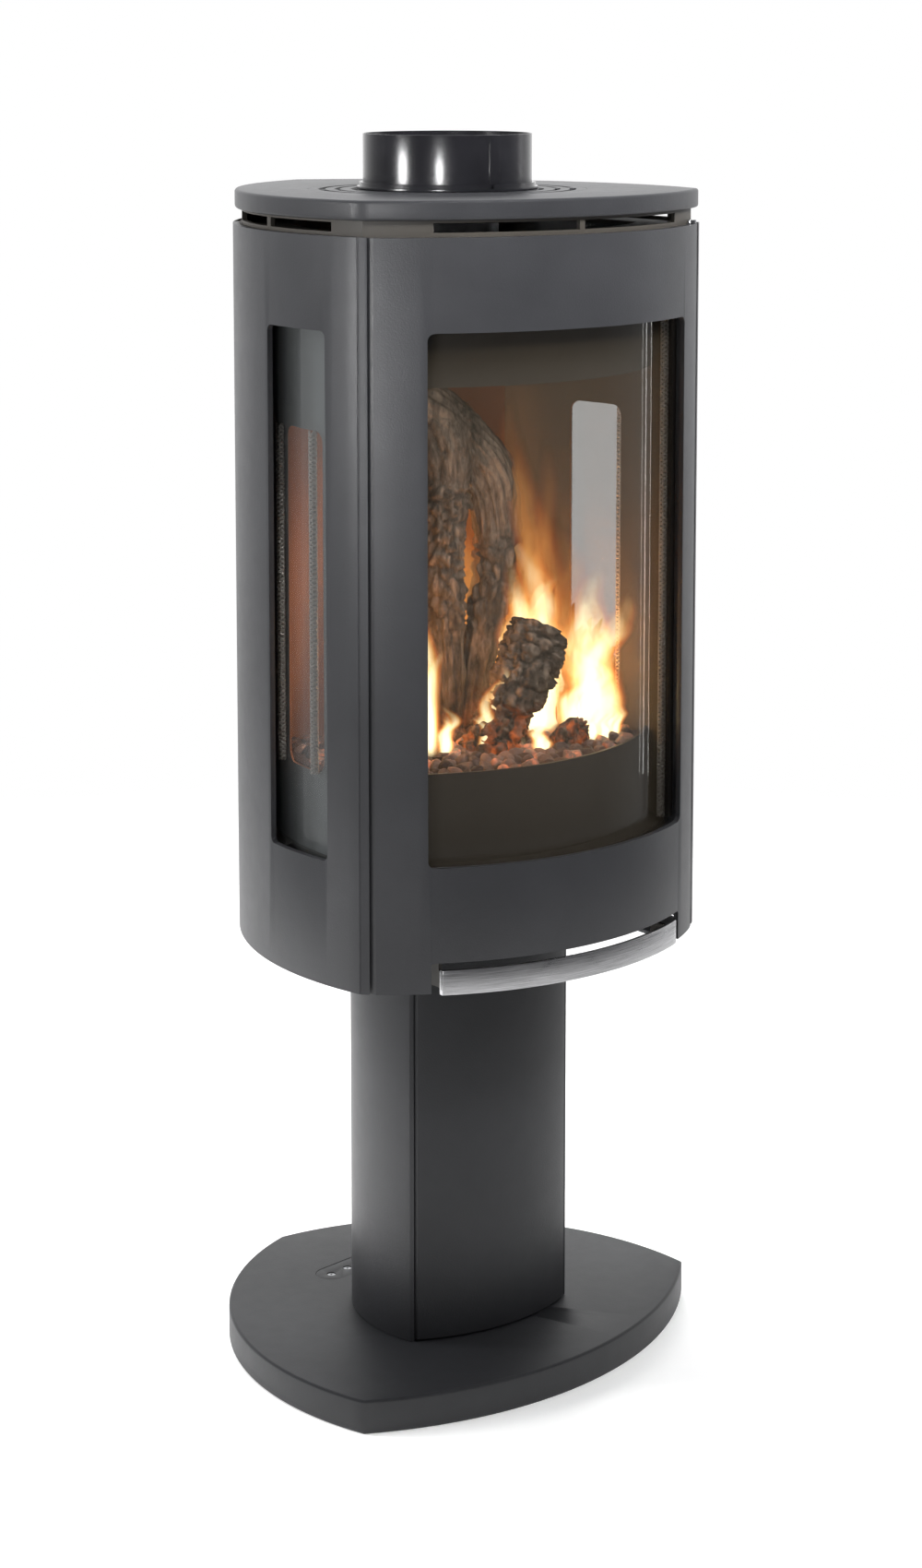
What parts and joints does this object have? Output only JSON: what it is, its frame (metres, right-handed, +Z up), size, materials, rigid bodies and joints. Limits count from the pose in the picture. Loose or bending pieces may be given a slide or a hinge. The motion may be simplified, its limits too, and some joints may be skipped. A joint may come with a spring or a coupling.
{
  "type": "pedestal fire stove",
  "caption": "Pedestal stove with a three-cornered plan, bowed glazed front door, side windows, log set on a burner, round top grille and a swivelling base.",
  "frame": {"origin": "on the flue and swivel axis, at the floor", "axes": "+Z up along the flue, -Y out of the front door, +X to the right seen from the front"},
  "size_m": [0.4994, 0.493, 1.24],
  "materials": {
    "charcoal_paint": "matt charcoal enamel over cast iron",
    "dark_sheet": "matt black high-temperature paint on sheet steel",
    "firebox_sheet": "heat-browned matt paint on sheet steel",
    "zinc": "zinc plated steel",
    "handle_steel": "brushed stainless steel",
    "flue_black": "satin black stove paint",
    "glass": "clear ceramic glass with a faint brown tint",
    "rope_seal": "braided grey glass-fibre rope",
    "rubber_pad": "black rubber",
    "glide_plastic": "white low-friction plastic",
    "brass_pipe": "bare gas pipe",
    "valve_cast": "die-cast valve body",
    "knob_plastic": "black moulded plastic",
    "button_red": "red moulded plastic",
    "switch_white": "light grey moulded plastic",
    "ember": "loose fired ceramic embers and grey-brown pebbles",
    "log_bark": "fired ceramic cast and coloured as bark",
    "log_char": "fired ceramic coloured as charred wood"
  },
  "bodies": {
    "base": {"base_plate": "charcoal_paint", "base_cover": "dark_sheet", "cover_screws": "zinc", "floor_pads": "rubber_pad", "glide_ring": "glide_plastic", "swivel_spindle": "zinc", "swivel_stop_pin": "zinc"},
    "front_door": {"front_door_panel": "charcoal_paint", "handle_bracket": "dark_sheet"},
    "handle": {"handle_bar": "handle_steel", "handle_arms": "dark_sheet", "handle_shaft": "zinc"},
    "pedestal_door": {"pedestal_door": "charcoal_paint"},
    "control_knob": {"control_knob": "knob_plastic"},
    "flame_knob": {"flame_knob": "knob_plastic"},
    "igniter_button": {"igniter_button": "button_red"},
    "receiver_switch": {"receiver_switch": "switch_white"},
    "stove": {"swivel_plate": "zinc", "pedestal_left": "charcoal_paint", "pedestal_right": "charcoal_paint", "pedestal_header": "dark_sheet", "pedestal_hinge_pins": "zinc", "pedestal_magnet": "zinc", "valve_bracket": "dark_sheet", "gas_valve": "valve_cast", "gas_inlet_pipe": "brass_pipe", "burner_pipe": "brass_pipe", "receiver_box": "dark_sheet", "body_floor": "dark_sheet", "floor_bolts": "zinc", "side_panel_left": "charcoal_paint", "side_panel_right": "charcoal_paint", "rear_cover": "dark_sheet", "top_frame": "dark_sheet", "door_hinge_pins": "zinc", "latch_catch": "zinc", "firebox_floor": "dark_sheet", "firebox_back": "firebox_sheet", "firebox_side_left": "firebox_sheet", "firebox_side_right": "firebox_sheet", "firebox_top": "dark_sheet", "lower_apron": "dark_sheet", "upper_apron": "dark_sheet", "corner_posts": "dark_sheet", "front_glass": "glass", "left_glass": "glass", "right_glass": "glass", "glass_gasket": "rope_seal", "burner_tray": "dark_sheet", "pilot_burner": "zinc", "ember_bed": "ember", "log_fork": "log_bark", "log_rear": "log_bark", "log_stub": "log_char", "spacer_frame": "dark_sheet", "top_plate": "charcoal_paint", "top_grille": "charcoal_paint", "flue_collar": "flue_black", "flue_pipe": "flue_black", "inner_flue_pipe": "zinc"}
  },
  "joints": [
    {"name": "swivel", "type": "hinge", "parent": "base", "child": "stove", "pos_m": [0, 0, 0.03], "axis": [0, 0, 1], "range_deg": [-35, 55]},
    {"name": "front_door_hinge", "type": "hinge", "parent": "stove", "child": "front_door", "pos_m": [0.19215, -0.14634, 0.432], "axis": [0, 0, 1], "range_deg": [0, 92]},
    {"name": "handle_tilt", "type": "hinge", "parent": "front_door", "child": "handle", "pos_m": [0, -0.16559, 0.5], "axis": [-1, 0, 0], "range_deg": [0, 12], "stiffness_Nm_per_rad": 1.5, "springref_deg": -8.59},
    {"name": "pedestal_door_hinge", "type": "hinge", "parent": "stove", "child": "pedestal_door", "pos_m": [0.09204, -0.0701, 0.2], "axis": [0, 0, 1], "range_deg": [0, 90]},
    {"name": "control_knob_turn", "type": "hinge", "parent": "stove", "child": "control_knob", "pos_m": [-0.02, -0.035, 0.25], "axis": [0, -1, 0], "range_deg": [0, 180]},
    {"name": "flame_knob_turn", "type": "hinge", "parent": "stove", "child": "flame_knob", "pos_m": [0.016, -0.035, 0.25], "axis": [0, -1, 0], "range_deg": [0, 90]},
    {"name": "igniter_press", "type": "slide", "parent": "stove", "child": "igniter_button", "axis": [0, 1, 0], "range_m": [0, 0.004], "stiffness_N_per_m": 400, "springref_m": -0.002},
    {"name": "receiver_switch_slide", "type": "slide", "parent": "stove", "child": "receiver_switch", "axis": [-1, 0, 0], "range_m": [0, 0.006]}
  ]
}
